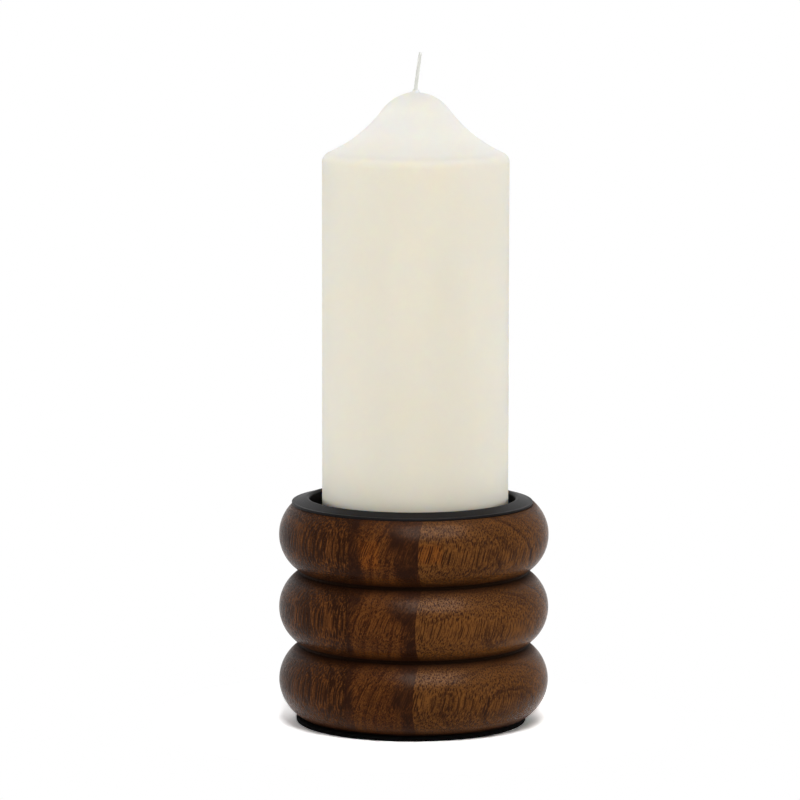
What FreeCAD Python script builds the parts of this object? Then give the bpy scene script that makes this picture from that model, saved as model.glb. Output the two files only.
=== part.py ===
import FreeCAD
import Part
import Sketcher

import math
import os

# Pillar candle holder with its candle.
# A walnut body, glued up from boards and turned to a stack of rounded rings, stands on a felt pad.
# A black sheet metal cup drops into the bored top and hangs by its flange.
# A domed pillar candle, cast round its wick, stands in the cup.
# Frame: +Z up, origin on the table under the axis of the turned wood, -Y towards the viewer.

# Driving sizes, in millimetres, and degrees for angles.
# A name that ends in share is a fraction of the clearance or overhang that it names.
SIZES = {
    # Domed pillar candle, from its flat base to the top of the dome
    "candle_radius": 35.0,
    "candle_height": 178.0,
    "candle_base_edge_radius": 1.0,
    "candle_cap_height": 26.0,
    "candle_shoulder_radius": 3.8,
    "candle_flare_radius": 50.5,
    "candle_dome_radius": 15.7,
    "wax_collar_radius": 1.2,
    "wax_collar_wall": 0.3,
    # Wick, upright in the wax and leaning above it
    "wick_radius": 0.8,
    "wick_clearance": 0.05,
    "wick_standing_height": 15.0,
    "wick_bend_radius": 24.0,
    "wick_lean_angle": 7.5,
    # Cup, pressed from sheet, with a raised lip inside a sloping flange
    "candle_clearance": 3.6,
    "candle_offset_share": 0.29,
    "sheet_thickness": 1.0,
    "cup_depth": 23.8,
    "cup_corner_radius": 2.0,
    "cup_crest_height": 2.5,
    "cup_bend_radius": 0.2,
    "flange_land_width": 1.1,
    "flange_inset": 0.2,
    "flange_edge_radius": 0.3,
    # Recess for the cup in the turned wood
    "cup_clearance": 0.9,
    "cup_offset_share": 0.65,
    "cup_floor_clearance": 0.3,
    "recess_chamfer": 0.5,
    # Turned wood: its wall is thinnest at the grooves, and the trims cut the end rings flat
    "groove_wall": 2.6,
    "groove_depth": 7.6,
    "groove_width": 0.9,
    "ring_arc_radius": 15.5,
    "foot_trim": 1.5,
    "top_trim": 3.9,
    # Boards that the wood is glued up from, seen from above
    "left_seam_distance": 12.2,
    "middle_board_thickness": 26.2,
    "turning_allowance": 4.0,
    "seam_turn_angle": 15.6,
    "seam_lean_angle": 1.8,
    # Felt pad under the wood
    "pad_thickness": 1.8,
    "pad_overhang": 1.55,
    "pad_offset_share": 0.64,
    "pad_edge_radius": 0.3,
}

RING_COUNT = 3

# Sizes that follow from the driving ones, as formulas in the names of the sheet's cells
CUP_INNER_RADIUS = "(sizes.candle_radius + sizes.candle_clearance)"
CUP_OUTER_RADIUS = f"({CUP_INNER_RADIUS} + sizes.sheet_thickness)"
CUP_LIP_RADIUS = "(sizes.cup_bend_radius + sizes.sheet_thickness)"
CUP_SEAT_HEIGHT = "(sizes.cup_depth + sizes.sheet_thickness)"
CUP_OFFSET = "(-sizes.cup_offset_share * sizes.cup_clearance)"
RECESS_RADIUS = f"({CUP_OUTER_RADIUS} + sizes.cup_clearance)"
RECESS_DEPTH = f"({CUP_SEAT_HEIGHT} + sizes.cup_floor_clearance)"

GROOVE_RADIUS = f"({RECESS_RADIUS} + sizes.groove_wall)"
RING_CREST_RADIUS = f"({GROOVE_RADIUS} + sizes.groove_depth)"
RING_CENTRE_RADIUS = f"({RING_CREST_RADIUS} - sizes.ring_arc_radius)"


def half_chord(depth):
    """Formula for half the width of a ring's arc at a depth below its crest."""
    return f"sqrt(sizes.ring_arc_radius ^ 2 - (sizes.ring_arc_radius - {depth}) ^ 2)"


HALF_RING_HEIGHT = half_chord("sizes.groove_depth")
RING_PITCH = f"(2 * {HALF_RING_HEIGHT} + sizes.groove_width)"
WOOD_FOOT_RADIUS = f"({RING_CENTRE_RADIUS} + {half_chord('sizes.foot_trim')})"
WOOD_TOP_RADIUS = f"({RING_CENTRE_RADIUS} + {half_chord('sizes.top_trim')})"


def ring_height(index):
    """Formula for the height of a ring's centre above the wood's underside, from 0, the lowest ring."""
    return f"(sizes.ring_arc_radius - sizes.foot_trim + {index} * {RING_PITCH})"


WOOD_HEIGHT = f"({ring_height(RING_COUNT - 1)} + sizes.ring_arc_radius - sizes.top_trim)"
FLANGE_RADIUS = f"({WOOD_TOP_RADIUS} - sizes.flange_inset)"
PAD_RADIUS = f"({WOOD_FOOT_RADIUS} + sizes.pad_overhang)"
PAD_OFFSET = "(-sizes.pad_offset_share * sizes.pad_overhang)"

BORE_RADIUS = "(sizes.wick_radius + sizes.wick_clearance)"
COLLAR_RIM_RADIUS = f"({BORE_RADIUS} + sizes.wax_collar_wall)"
COLLAR_CENTRE_RADIUS = f"({COLLAR_RIM_RADIUS} + sizes.wax_collar_radius)"
SHOULDER_HEIGHT = "(sizes.candle_height - sizes.candle_cap_height)"
DOME_CENTRE_HEIGHT = "(sizes.candle_height - sizes.candle_dome_radius)"
COLLAR_HEIGHT = (
    f"({DOME_CENTRE_HEIGHT} + sqrt((sizes.candle_dome_radius + sizes.wax_collar_radius) ^ 2"
    f" - {COLLAR_CENTRE_RADIUS} ^ 2))"
)
CANDLE_OFFSET = f"({CUP_OFFSET} + sizes.candle_offset_share * sizes.candle_clearance)"

# Heights above the table
WOOD_TOP_HEIGHT = f"(sizes.pad_thickness + {WOOD_HEIGHT})"
CUP_BASE_HEIGHT = f"({WOOD_TOP_HEIGHT} - {CUP_SEAT_HEIGHT})"
CANDLE_BASE_HEIGHT = f"({CUP_BASE_HEIGHT} + sizes.sheet_thickness)"

# How a sketch counts the places on a curve, and its own axes, which meet at the origin
START, END, CENTRE = range(1, 4)
UPRIGHT_AXIS, LEVEL_AXIS = range(-2, 0)
ORIGIN = (LEVEL_AXIS, START)

QUARTER_TURN = math.pi / 2

doc = FreeCAD.newDocument("candle_holder")


def make_sheet():
    """The sheet that holds every driving size in a named cell."""
    sheet = doc.addObject("Spreadsheet::Sheet", "sizes")
    for row, (name, size) in enumerate(SIZES.items(), start=1):
        sheet.set(f"A{row}", name)
        sheet.set(f"B{row}", str(size))
        sheet.setAlias(f"B{row}", name)
    doc.recompute()
    return sheet


sizes = make_sheet()


def number(formula):
    """The present value of a formula."""
    return float(sizes.evalExpression(formula))


def make_body(name):
    """An empty body whose label names its file."""
    body = doc.addObject("PartDesign::Body", name)
    body.Label = name
    return body


def make_sketch(body, name, plane):
    """A sketch on one of the body's own origin planes."""
    sketch = body.newObject("Sketcher::SketchObject", name)
    planes = {feature.Role: feature for feature in body.Origin.OriginFeatures}
    sketch.AttachmentSupport = [(planes[plane], "")]
    sketch.MapMode = "FlatFace"
    return sketch


def add_line(sketch, start, end):
    """A straight line, given by its two ends."""
    line = Part.LineSegment(FreeCAD.Vector(*start, 0), FreeCAD.Vector(*end, 0))
    return sketch.addGeometry(line, False)


def add_arc(sketch, centre, radius, first_angle, last_angle):
    """An arc that runs anticlockwise from its first angle to its last one."""
    circle = Part.Circle(FreeCAD.Vector(*centre, 0), FreeCAD.Vector(0, 0, 1), radius)
    return sketch.addGeometry(Part.ArcOfCircle(circle, first_angle, last_angle), False)


def relate(sketch, kind, *places):
    """A geometric relation, such as Coincident or Tangent."""
    sketch.addConstraint(Sketcher.Constraint(kind, *places))


def dimension(sketch, name, kind, formula, *places):
    """A named dimension that follows its formula."""
    index = sketch.addConstraint(Sketcher.Constraint(kind, *places, number(formula)))
    sketch.renameConstraint(index, name)
    sketch.setExpression(f"Constraints.{name}", formula)


def revolve(body, sketch):
    """Turn a half section round the upright axis of its sketch."""
    revolution = body.newObject("PartDesign::Revolution", f"{body.Name}_turned")
    revolution.Profile = sketch
    revolution.ReferenceAxis = (sketch, ["V_Axis"])
    revolution.Angle = 360
    sketch.Visibility = False
    body.Tip = revolution
    doc.recompute()
    return revolution


def circular_edges(shape, radius, heights):
    """Names of the circular edges of this radius at one of these heights."""
    names = []
    for index, edge in enumerate(shape.Edges, start=1):
        if not isinstance(edge.Curve, Part.Circle):
            continue
        same_radius = math.isclose(edge.Curve.Radius, radius, rel_tol=1e-6)
        middle = edge.Curve.Center.z
        if same_radius and any(math.isclose(middle, height, abs_tol=1e-6 * radius) for height in heights):
            names.append(f"Edge{index}")
    return names


def dress_edges(body, kind, size_name, formula, edges):
    """A fillet or chamfer on edges of the body's last feature."""
    base = body.Tip
    feature = body.newObject(f"PartDesign::{kind}", f"{body.Name}_{kind.lower()}")
    feature.Base = (base, edges)
    feature.setExpression(size_name, formula)
    body.Tip = feature
    doc.recompute()
    return feature


def place(sub_part, side_formula, height_formula):
    """Stand a sub-part at its offset to the side and its height above the table."""
    sub_part.setExpression("Placement.Base.x", side_formula)
    sub_part.setExpression("Placement.Base.z", height_formula)


def make_turned_wood():
    """The wood as the lathe leaves it: stacked rings outside, a flat-bottomed recess for the cup."""
    body = make_body("turned_wood")
    sketch = make_sketch(body, "turned_wood_section", "XZ_Plane")
    foot_radius = number(WOOD_FOOT_RADIUS)
    top_radius = number(WOOD_TOP_RADIUS)
    recess_radius = number(RECESS_RADIUS)
    top = number(WOOD_HEIGHT)
    floor = top - number(RECESS_DEPTH)
    arc_radius = number("sizes.ring_arc_radius")
    centre_radius = number(RING_CENTRE_RADIUS)
    groove_radius = number(GROOVE_RADIUS)
    half_ring = number(HALF_RING_HEIGHT)

    underside = add_line(sketch, (0, 0), (foot_radius, 0))
    relate(sketch, "Coincident", underside, START, *ORIGIN)
    relate(sketch, "Horizontal", underside)
    previous = underside
    for ring in range(RING_COUNT):
        centre_height = number(ring_height(ring))
        lowest = -centre_height if ring == 0 else -half_ring
        highest = top - centre_height if ring == RING_COUNT - 1 else half_ring
        arc = add_arc(
            sketch,
            (centre_radius, centre_height),
            arc_radius,
            math.asin(lowest / arc_radius),
            math.asin(highest / arc_radius),
        )
        relate(sketch, "Coincident", previous, END, arc, START)
        dimension(sketch, f"ring_{ring}_arc", "Radius", "sizes.ring_arc_radius", arc)
        dimension(sketch, f"ring_{ring}_centre", "DistanceX", RING_CENTRE_RADIUS, *ORIGIN, arc, CENTRE)
        dimension(sketch, f"ring_{ring}_height", "DistanceY", ring_height(ring), *ORIGIN, arc, CENTRE)
        previous = arc
        if ring < RING_COUNT - 1:
            groove_start = (groove_radius, centre_height + half_ring)
            groove_end = (groove_radius, number(ring_height(ring + 1)) - half_ring)
            groove = add_line(sketch, groove_start, groove_end)
            relate(sketch, "Coincident", arc, END, groove, START)
            relate(sketch, "Vertical", groove)
            dimension(sketch, f"groove_{ring}", "DistanceY", "sizes.groove_width", groove, START, groove, END)
            previous = groove

    top_face = add_line(sketch, (top_radius, top), (recess_radius, top))
    recess_wall = add_line(sketch, (recess_radius, top), (recess_radius, floor))
    recess_floor = add_line(sketch, (recess_radius, floor), (0, floor))
    axis = add_line(sketch, (0, floor), (0, 0))
    for first, second in (
        (previous, top_face),
        (top_face, recess_wall),
        (recess_wall, recess_floor),
        (recess_floor, axis),
        (axis, underside),
    ):
        relate(sketch, "Coincident", first, END, second, START)
    relate(sketch, "Horizontal", top_face)
    relate(sketch, "Vertical", recess_wall)
    relate(sketch, "Horizontal", recess_floor)
    relate(sketch, "Vertical", axis)
    dimension(sketch, "wood_height", "DistanceY", WOOD_HEIGHT, *ORIGIN, top_face, START)
    dimension(sketch, "recess_radius", "DistanceX", RECESS_RADIUS, *ORIGIN, recess_wall, START)
    dimension(sketch, "recess_depth", "DistanceY", RECESS_DEPTH, recess_wall, END, recess_wall, START)

    turned = revolve(body, sketch)
    mouth = circular_edges(turned.Shape, recess_radius, (top,))
    dress_edges(body, "Chamfer", "Size", "sizes.recess_chamfer", mouth)
    return body


# The glued block before turning: half its width and depth, and half its height
HALF_BLOCK = f"({RING_CREST_RADIUS} + sizes.turning_allowance)"
HALF_BLOCK_HEIGHT = f"({WOOD_HEIGHT} / 2 + sizes.turning_allowance)"


def make_board(name, turned_wood, inner_formula, thickness_formula):
    """One board of the glued block, as much of it as the lathe leaves.

    The block is turned and leaned a little against the view, so the seams run slanted.
    The board lies between two planes square to its thickness, which is along the block's X.
    """
    stock = doc.addObject("Part::Box", f"{name}_stock")
    stock.setExpression("Length", thickness_formula)
    stock.setExpression("Width", f"2 * {HALF_BLOCK}")
    stock.setExpression("Height", f"2 * {HALF_BLOCK_HEIGHT}")
    yaw = "-sizes.seam_turn_angle"
    pitch = "sizes.seam_lean_angle"
    block_frame = (
        f"create(<<placement>>; create(<<vector>>; 0; 0; {WOOD_HEIGHT} / 2);"
        f" create(<<rotation>>; {yaw}; {pitch}; 0))"
    )
    board_corner = (
        f"create(<<placement>>; create(<<vector>>; {inner_formula}; -{HALF_BLOCK}; -{HALF_BLOCK_HEIGHT});"
        " create(<<rotation>>; 0; 0; 0))"
    )
    stock.setExpression("Placement", f"{block_frame} * {board_corner}")

    board = doc.addObject("Part::Common", name)
    board.Label = name
    board.Base = turned_wood
    board.Tool = stock
    place(board, "0", "sizes.pad_thickness")
    doc.recompute()
    return board


def make_boards(turned_wood):
    """Three boards, face to face at two seams."""
    left_seam = "(-sizes.left_seam_distance)"
    right_seam = f"({left_seam} + sizes.middle_board_thickness)"
    return [
        make_board("board_left", turned_wood, f"(-{HALF_BLOCK})", f"{HALF_BLOCK} + {left_seam}"),
        make_board("board_middle", turned_wood, left_seam, "sizes.middle_board_thickness"),
        make_board("board_right", turned_wood, right_seam, f"{HALF_BLOCK} - {right_seam}"),
    ]


def make_foot_pad():
    """A felt disc, a little wider than the flat that it is glued to and stuck on off centre."""
    body = make_body("foot_pad")
    sketch = make_sketch(body, "foot_pad_outline", "XY_Plane")
    radius = number(PAD_RADIUS)
    circle = Part.Circle(FreeCAD.Vector(0, 0, 0), FreeCAD.Vector(0, 0, 1), radius)
    outline = sketch.addGeometry(circle, False)
    relate(sketch, "Coincident", outline, CENTRE, *ORIGIN)
    dimension(sketch, "pad_radius", "Radius", PAD_RADIUS, outline)
    pad = body.newObject("PartDesign::Pad", "foot_pad_disc")
    pad.Profile = sketch
    pad.setExpression("Length", "sizes.pad_thickness")
    sketch.Visibility = False
    body.Tip = pad
    doc.recompute()
    edges = circular_edges(pad.Shape, radius, (0, number("sizes.pad_thickness")))
    dress_edges(body, "Fillet", "Radius", "sizes.pad_edge_radius", edges)
    place(body, PAD_OFFSET, "0")
    return body


def make_cup():
    """The cup as one even sheet: floor, wall, rolled lip, sloping flange and a flat land at its edge."""
    body = make_body("cup")
    sketch = make_sketch(body, "cup_section", "XZ_Plane")
    sheet = number("sizes.sheet_thickness")
    inner = number(CUP_INNER_RADIUS)
    corner = number("sizes.cup_corner_radius")
    lip = number(CUP_LIP_RADIUS)
    bend = number("sizes.cup_bend_radius")
    seat = number(CUP_SEAT_HEIGHT)
    crest = seat + number("sizes.cup_crest_height")
    rim = number(FLANGE_RADIUS)
    land_start = rim - number("sizes.flange_land_width")
    lip_centre = (inner + lip, crest - lip)
    corner_centre = (inner - corner, sheet + corner)

    # The slope runs from the land, touching the lip's arc
    run = land_start - lip_centre[0]
    fall = lip_centre[1] - (seat + sheet)
    slope = math.atan2(fall, run) + math.asin(lip / math.hypot(run, fall))
    lip_touch = (lip_centre[0] + lip * math.sin(slope), lip_centre[1] + lip * math.cos(slope))
    bend_touch = (lip_centre[0] + bend * math.sin(slope), lip_centre[1] + bend * math.cos(slope))
    land_under = land_start - sheet * math.tan(slope / 2)

    floor_top = add_line(sketch, (0, sheet), (inner - corner, sheet))
    corner_top = add_arc(sketch, corner_centre, corner, -QUARTER_TURN, 0)
    wall_inside = add_line(sketch, (inner, sheet + corner), (inner, crest - lip))
    lip_top = add_arc(sketch, lip_centre, lip, QUARTER_TURN - slope, math.pi)
    slope_top = add_line(sketch, lip_touch, (land_start, seat + sheet))
    land_top = add_line(sketch, (land_start, seat + sheet), (rim, seat + sheet))
    rim_edge = add_line(sketch, (rim, seat + sheet), (rim, seat))
    land_seat = add_line(sketch, (rim, seat), (land_under, seat))
    slope_under = add_line(sketch, (land_under, seat), bend_touch)
    lip_under = add_arc(sketch, lip_centre, bend, QUARTER_TURN - slope, math.pi)
    wall_outside = add_line(sketch, (inner + sheet, crest - lip), (inner + sheet, sheet + corner))
    corner_under = add_arc(sketch, corner_centre, corner + sheet, -QUARTER_TURN, 0)
    floor_under = add_line(sketch, (inner - corner, 0), (0, 0))
    axis = add_line(sketch, (0, 0), (0, sheet))

    for first, first_end, second, second_end in (
        (floor_top, END, corner_top, START),
        (corner_top, END, wall_inside, START),
        (wall_inside, END, lip_top, END),
        (lip_top, START, slope_top, START),
        (slope_under, END, lip_under, START),
        (lip_under, END, wall_outside, START),
        (wall_outside, END, corner_under, END),
        (corner_under, START, floor_under, START),
    ):
        relate(sketch, "Tangent", first, first_end, second, second_end)
    for first, second in (
        (slope_top, land_top),
        (land_top, rim_edge),
        (rim_edge, land_seat),
        (land_seat, slope_under),
        (floor_under, axis),
        (axis, floor_top),
    ):
        relate(sketch, "Coincident", first, END, second, START)
    for level in (floor_top, land_top, land_seat, floor_under):
        relate(sketch, "Horizontal", level)
    for upright in (wall_inside, wall_outside, rim_edge, axis):
        relate(sketch, "Vertical", upright)
    relate(sketch, "Parallel", slope_top, slope_under)
    relate(sketch, "Coincident", corner_top, CENTRE, corner_under, CENTRE)
    relate(sketch, "Coincident", lip_top, CENTRE, lip_under, CENTRE)
    relate(sketch, "Coincident", axis, START, *ORIGIN)
    dimension(sketch, "sheet", "DistanceY", "sizes.sheet_thickness", axis, START, axis, END)
    dimension(sketch, "corner", "Radius", "sizes.cup_corner_radius", corner_top)
    dimension(sketch, "inner_radius", "DistanceX", CUP_INNER_RADIUS, *ORIGIN, wall_inside, START)
    dimension(sketch, "lip", "Radius", CUP_LIP_RADIUS, lip_top)
    lip_centre_height = f"{CUP_SEAT_HEIGHT} + sizes.cup_crest_height - {CUP_LIP_RADIUS}"
    dimension(sketch, "lip_height", "DistanceY", lip_centre_height, *ORIGIN, lip_top, CENTRE)
    dimension(sketch, "land", "DistanceX", "sizes.flange_land_width", land_top, START, land_top, END)
    dimension(sketch, "rim", "DistanceX", FLANGE_RADIUS, *ORIGIN, rim_edge, START)
    dimension(sketch, "seat", "DistanceY", CUP_SEAT_HEIGHT, *ORIGIN, rim_edge, END)
    dimension(sketch, "rim_sheet", "DistanceY", "sizes.sheet_thickness", rim_edge, END, rim_edge, START)

    turned = revolve(body, sketch)
    edges = circular_edges(turned.Shape, rim, (seat, seat + sheet))
    dress_edges(body, "Fillet", "Radius", "sizes.flange_edge_radius", edges)
    place(body, CUP_OFFSET, CUP_BASE_HEIGHT)
    return body


def make_candle():
    """The wax: straight wall, rounded shoulder, hollow flare, round dome and a collar up the wick."""
    body = make_body("candle")
    sketch = make_sketch(body, "candle_section", "XZ_Plane")
    radius = number("sizes.candle_radius")
    edge = number("sizes.candle_base_edge_radius")
    shoulder = number("sizes.candle_shoulder_radius")
    shoulder_height = number(SHOULDER_HEIGHT)
    flare = number("sizes.candle_flare_radius")
    dome = number("sizes.candle_dome_radius")
    bore = number(BORE_RADIUS)
    rim = number(COLLAR_RIM_RADIUS)
    collar = number("sizes.wax_collar_radius")
    collar_height = number(COLLAR_HEIGHT)
    dome_centre = FreeCAD.Vector(0, number(DOME_CENTRE_HEIGHT), 0)
    shoulder_centre = FreeCAD.Vector(radius - shoulder, shoulder_height, 0)
    collar_centre = FreeCAD.Vector(number(COLLAR_CENTRE_RADIUS), collar_height, 0)

    # The flare's centre lies outside, where its arc touches both the dome's and the shoulder's
    span = shoulder_centre - dome_centre
    to_dome = dome + flare
    to_shoulder = flare + shoulder
    along = (span.Length**2 + to_dome**2 - to_shoulder**2) / (2 * span.Length)
    aside = math.sqrt(to_dome**2 - along**2)
    direction = span / span.Length
    flare_centre = dome_centre + direction * along + FreeCAD.Vector(-direction.y, direction.x, 0) * aside

    def angle(centre, target):
        """Direction from one centre to another, from the level, anticlockwise."""
        return math.atan2(target.y - centre.y, target.x - centre.x)

    base = add_line(sketch, (bore, 0), (radius - edge, 0))
    base_edge = add_arc(sketch, (radius - edge, edge), edge, -QUARTER_TURN, 0)
    wall = add_line(sketch, (radius, edge), (radius, shoulder_height))
    shoulder_arc = add_arc(
        sketch, (shoulder_centre.x, shoulder_centre.y), shoulder, 0, angle(shoulder_centre, flare_centre)
    )
    flare_arc = add_arc(
        sketch,
        (flare_centre.x, flare_centre.y),
        flare,
        angle(flare_centre, dome_centre),
        angle(flare_centre, shoulder_centre),
    )
    dome_arc = add_arc(
        sketch,
        (dome_centre.x, dome_centre.y),
        dome,
        angle(dome_centre, flare_centre),
        angle(dome_centre, collar_centre),
    )
    collar_foot_angle = angle(collar_centre, dome_centre) + 2 * math.pi
    collar_arc = add_arc(sketch, (collar_centre.x, collar_centre.y), collar, math.pi, collar_foot_angle)
    collar_rim = add_line(sketch, (rim, collar_height), (bore, collar_height))
    bore_wall = add_line(sketch, (bore, collar_height), (bore, 0))

    for first, first_end, second, second_end in (
        (base, END, base_edge, START),
        (base_edge, END, wall, START),
        (wall, END, shoulder_arc, START),
        (shoulder_arc, END, flare_arc, END),
        (flare_arc, START, dome_arc, START),
        (dome_arc, END, collar_arc, END),
    ):
        relate(sketch, "Tangent", first, first_end, second, second_end)
    relate(sketch, "Coincident", collar_arc, START, collar_rim, START)
    relate(sketch, "Coincident", collar_rim, END, bore_wall, START)
    relate(sketch, "Coincident", bore_wall, END, base, START)
    relate(sketch, "Horizontal", base)
    relate(sketch, "Horizontal", collar_rim)
    relate(sketch, "Horizontal", collar_arc, START, collar_arc, CENTRE)
    relate(sketch, "Vertical", wall)
    relate(sketch, "Vertical", bore_wall)
    relate(sketch, "PointOnObject", base, START, LEVEL_AXIS)
    relate(sketch, "PointOnObject", dome_arc, CENTRE, UPRIGHT_AXIS)
    dimension(sketch, "bore", "DistanceX", BORE_RADIUS, *ORIGIN, base, START)
    dimension(sketch, "candle_radius", "DistanceX", "sizes.candle_radius", *ORIGIN, wall, START)
    dimension(sketch, "base_edge", "Radius", "sizes.candle_base_edge_radius", base_edge)
    dimension(sketch, "shoulder", "Radius", "sizes.candle_shoulder_radius", shoulder_arc)
    dimension(sketch, "shoulder_height", "DistanceY", SHOULDER_HEIGHT, *ORIGIN, wall, END)
    dimension(sketch, "flare", "Radius", "sizes.candle_flare_radius", flare_arc)
    dimension(sketch, "dome", "Radius", "sizes.candle_dome_radius", dome_arc)
    dimension(sketch, "dome_height", "DistanceY", DOME_CENTRE_HEIGHT, *ORIGIN, dome_arc, CENTRE)
    dimension(sketch, "collar", "Radius", "sizes.wax_collar_radius", collar_arc)
    dimension(sketch, "collar_centre", "DistanceX", COLLAR_CENTRE_RADIUS, *ORIGIN, collar_arc, CENTRE)

    revolve(body, sketch)
    place(body, CANDLE_OFFSET, CANDLE_BASE_HEIGHT)
    return body


def make_wick():
    """The wick: upright from the base of the wax to its collar, then bent over to the right."""
    body = make_body("wick")
    radius = number("sizes.wick_radius")
    outline = make_sketch(body, "wick_outline", "XY_Plane")
    circle = Part.Circle(FreeCAD.Vector(0, 0, 0), FreeCAD.Vector(0, 0, 1), radius)
    round_section = outline.addGeometry(circle, False)
    relate(outline, "Coincident", round_section, CENTRE, *ORIGIN)
    dimension(outline, "wick_radius", "Radius", "sizes.wick_radius", round_section)

    path = make_sketch(body, "wick_path", "XZ_Plane")
    rise = number(COLLAR_HEIGHT)
    bend = number("sizes.wick_bend_radius")
    lean = math.radians(number("sizes.wick_lean_angle"))
    tip_height = number("sizes.candle_height + sizes.wick_standing_height")
    bend_end = (bend - bend * math.cos(lean), rise + bend * math.sin(lean))
    tip = (bend_end[0] + (tip_height - bend_end[1]) * math.tan(lean), tip_height)
    upright = add_line(path, (0, 0), (0, rise))
    bow = add_arc(path, (bend, rise), bend, math.pi - lean, math.pi)
    leaning = add_line(path, bend_end, tip)
    relate(path, "Coincident", upright, START, *ORIGIN)
    relate(path, "Vertical", upright)
    relate(path, "Tangent", upright, END, bow, END)
    relate(path, "Tangent", bow, START, leaning, START)
    dimension(path, "rise", "DistanceY", COLLAR_HEIGHT, upright, START, upright, END)
    dimension(path, "bend", "Radius", "sizes.wick_bend_radius", bow)
    tip_formula = "sizes.candle_height + sizes.wick_standing_height"
    dimension(path, "tip_height", "DistanceY", tip_formula, *ORIGIN, leaning, END)
    lean_formula = "sizes.wick_bend_radius * (1 - cos(sizes.wick_lean_angle * 1 deg))"
    dimension(path, "lean", "DistanceX", lean_formula, upright, END, bow, START)

    pipe = body.newObject("PartDesign::AdditivePipe", "wick_strand")
    pipe.Profile = outline
    pipe.Spine = path
    outline.Visibility = False
    path.Visibility = False
    body.Tip = pipe
    doc.recompute()
    place(body, CANDLE_OFFSET, CANDLE_BASE_HEIGHT)
    return body


def check_document():
    """Stop on a failed object, before anything is written."""
    doc.recompute()
    for item in doc.Objects:
        if "Invalid" in item.State or "Error" in item.State:
            raise RuntimeError(f"{item.Label} did not compute: {item.State}")


def write_parts(sub_parts):
    """Write each sub-part, one whole solid each, to the file that its label names."""
    os.makedirs("parts", exist_ok=True)
    for sub_part in sub_parts:
        shape = sub_part.Shape
        if shape.isNull() or not shape.isValid() or len(shape.Solids) != 1:
            raise RuntimeError(f"{sub_part.Label} is not one valid solid")
    for sub_part in sub_parts:
        sub_part.Shape.exportStep(f"parts/{sub_part.Label}.step")
        box = sub_part.Shape.optimalBoundingBox(False)
        print(f"{sub_part.Label}: {sub_part.Shape.Volume:.0f} mm3, z {box.ZMin:.2f} to {box.ZMax:.2f}")


def main():
    boards = make_boards(make_turned_wood())
    sub_parts = boards + [make_foot_pad(), make_cup(), make_candle(), make_wick()]
    check_document()
    write_parts(sub_parts)


main()
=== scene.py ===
import math
import random

import bmesh
import bpy
from mathutils import Euler, Matrix, Vector, noise


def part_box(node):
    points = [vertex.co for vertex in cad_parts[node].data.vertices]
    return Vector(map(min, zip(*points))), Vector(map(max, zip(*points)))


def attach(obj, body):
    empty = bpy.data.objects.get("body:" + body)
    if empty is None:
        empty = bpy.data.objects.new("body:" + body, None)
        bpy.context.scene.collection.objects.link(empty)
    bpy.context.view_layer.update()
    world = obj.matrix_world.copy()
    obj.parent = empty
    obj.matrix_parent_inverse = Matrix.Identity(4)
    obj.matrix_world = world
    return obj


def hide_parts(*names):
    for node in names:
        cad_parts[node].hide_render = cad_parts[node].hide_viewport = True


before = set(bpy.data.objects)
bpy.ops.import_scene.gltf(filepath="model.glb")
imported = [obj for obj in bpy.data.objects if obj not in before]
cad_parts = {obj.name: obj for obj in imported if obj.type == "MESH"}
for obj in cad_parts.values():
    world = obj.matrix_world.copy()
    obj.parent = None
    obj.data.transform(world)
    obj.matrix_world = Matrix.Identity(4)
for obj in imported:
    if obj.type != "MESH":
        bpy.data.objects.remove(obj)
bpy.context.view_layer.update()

# Pillar candle holder with its candle, dressed over the CAD model, in metres.
MM = 0.001
FULL_TURN = 2 * math.pi
QUARTER_TURN = math.pi / 2

# Points nearer than this are one point
SAME_POINT = 1e-7

# ---------------------------------------------------------------- sizes

# Read from the frame
pad_low, pad_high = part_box("foot_pad")
cup_low, cup_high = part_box("cup")
candle_low, candle_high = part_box("candle")
wick_low, wick_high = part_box("wick")
wood_low, wood_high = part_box("board_middle")
crest_radius = -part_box("board_left")[0].x

# Turned wood
RING_COUNT = 3
ARC_RADIUS = 15.5 * MM
GROOVE_DEPTH = 7.6 * MM
GROOVE_WIDTH = 0.9 * MM
GROOVE_WALL = 2.6 * MM
FOOT_TRIM = 1.5 * MM
TOP_TRIM = 3.9 * MM
RECESS_CHAMFER = 0.5 * MM
FLOOR_CLEARANCE = 0.3 * MM
SEAM_LEFT = -12.2 * MM
SEAM_RIGHT = 14.0 * MM
SEAM_TURN = math.radians(15.6)
SEAM_LEAN = math.radians(1.8)
TURNING_WAVE = 0.05 * MM
TURNING_WAVE_LENGTH = 14 * MM
WOOD_SIDES = 336

ring_centre_radius = crest_radius - ARC_RADIUS
half_ring = math.sqrt(ARC_RADIUS**2 - (ARC_RADIUS - GROOVE_DEPTH) ** 2)
ring_pitch = 2 * half_ring + GROOVE_WIDTH
recess_radius = crest_radius - GROOVE_DEPTH - GROOVE_WALL

# Felt pad: its rounded edge, and how deep and how long the fray and the waves of its rim are
PAD_EDGE = 0.45 * MM
PAD_FRAY = 0.10 * MM
PAD_FRAY_LENGTHS = (1.1 * MM, 0.45 * MM)
PAD_WAVE = 0.06 * MM
PAD_WAVE_LENGTH = 9 * MM
PAD_SIDES = 420

# Cup
SHEET = 1.0 * MM
CUP_CORNER = 2.0 * MM
CUP_BEND = 0.2 * MM
CUP_CREST = 2.5 * MM
FLANGE_LAND = 1.1 * MM
FLANGE_EDGE = 0.3 * MM
FLANGE_BEND = 0.7 * MM
CUP_CLEARANCE = 0.9 * MM
CUP_SIDES = 300

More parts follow.
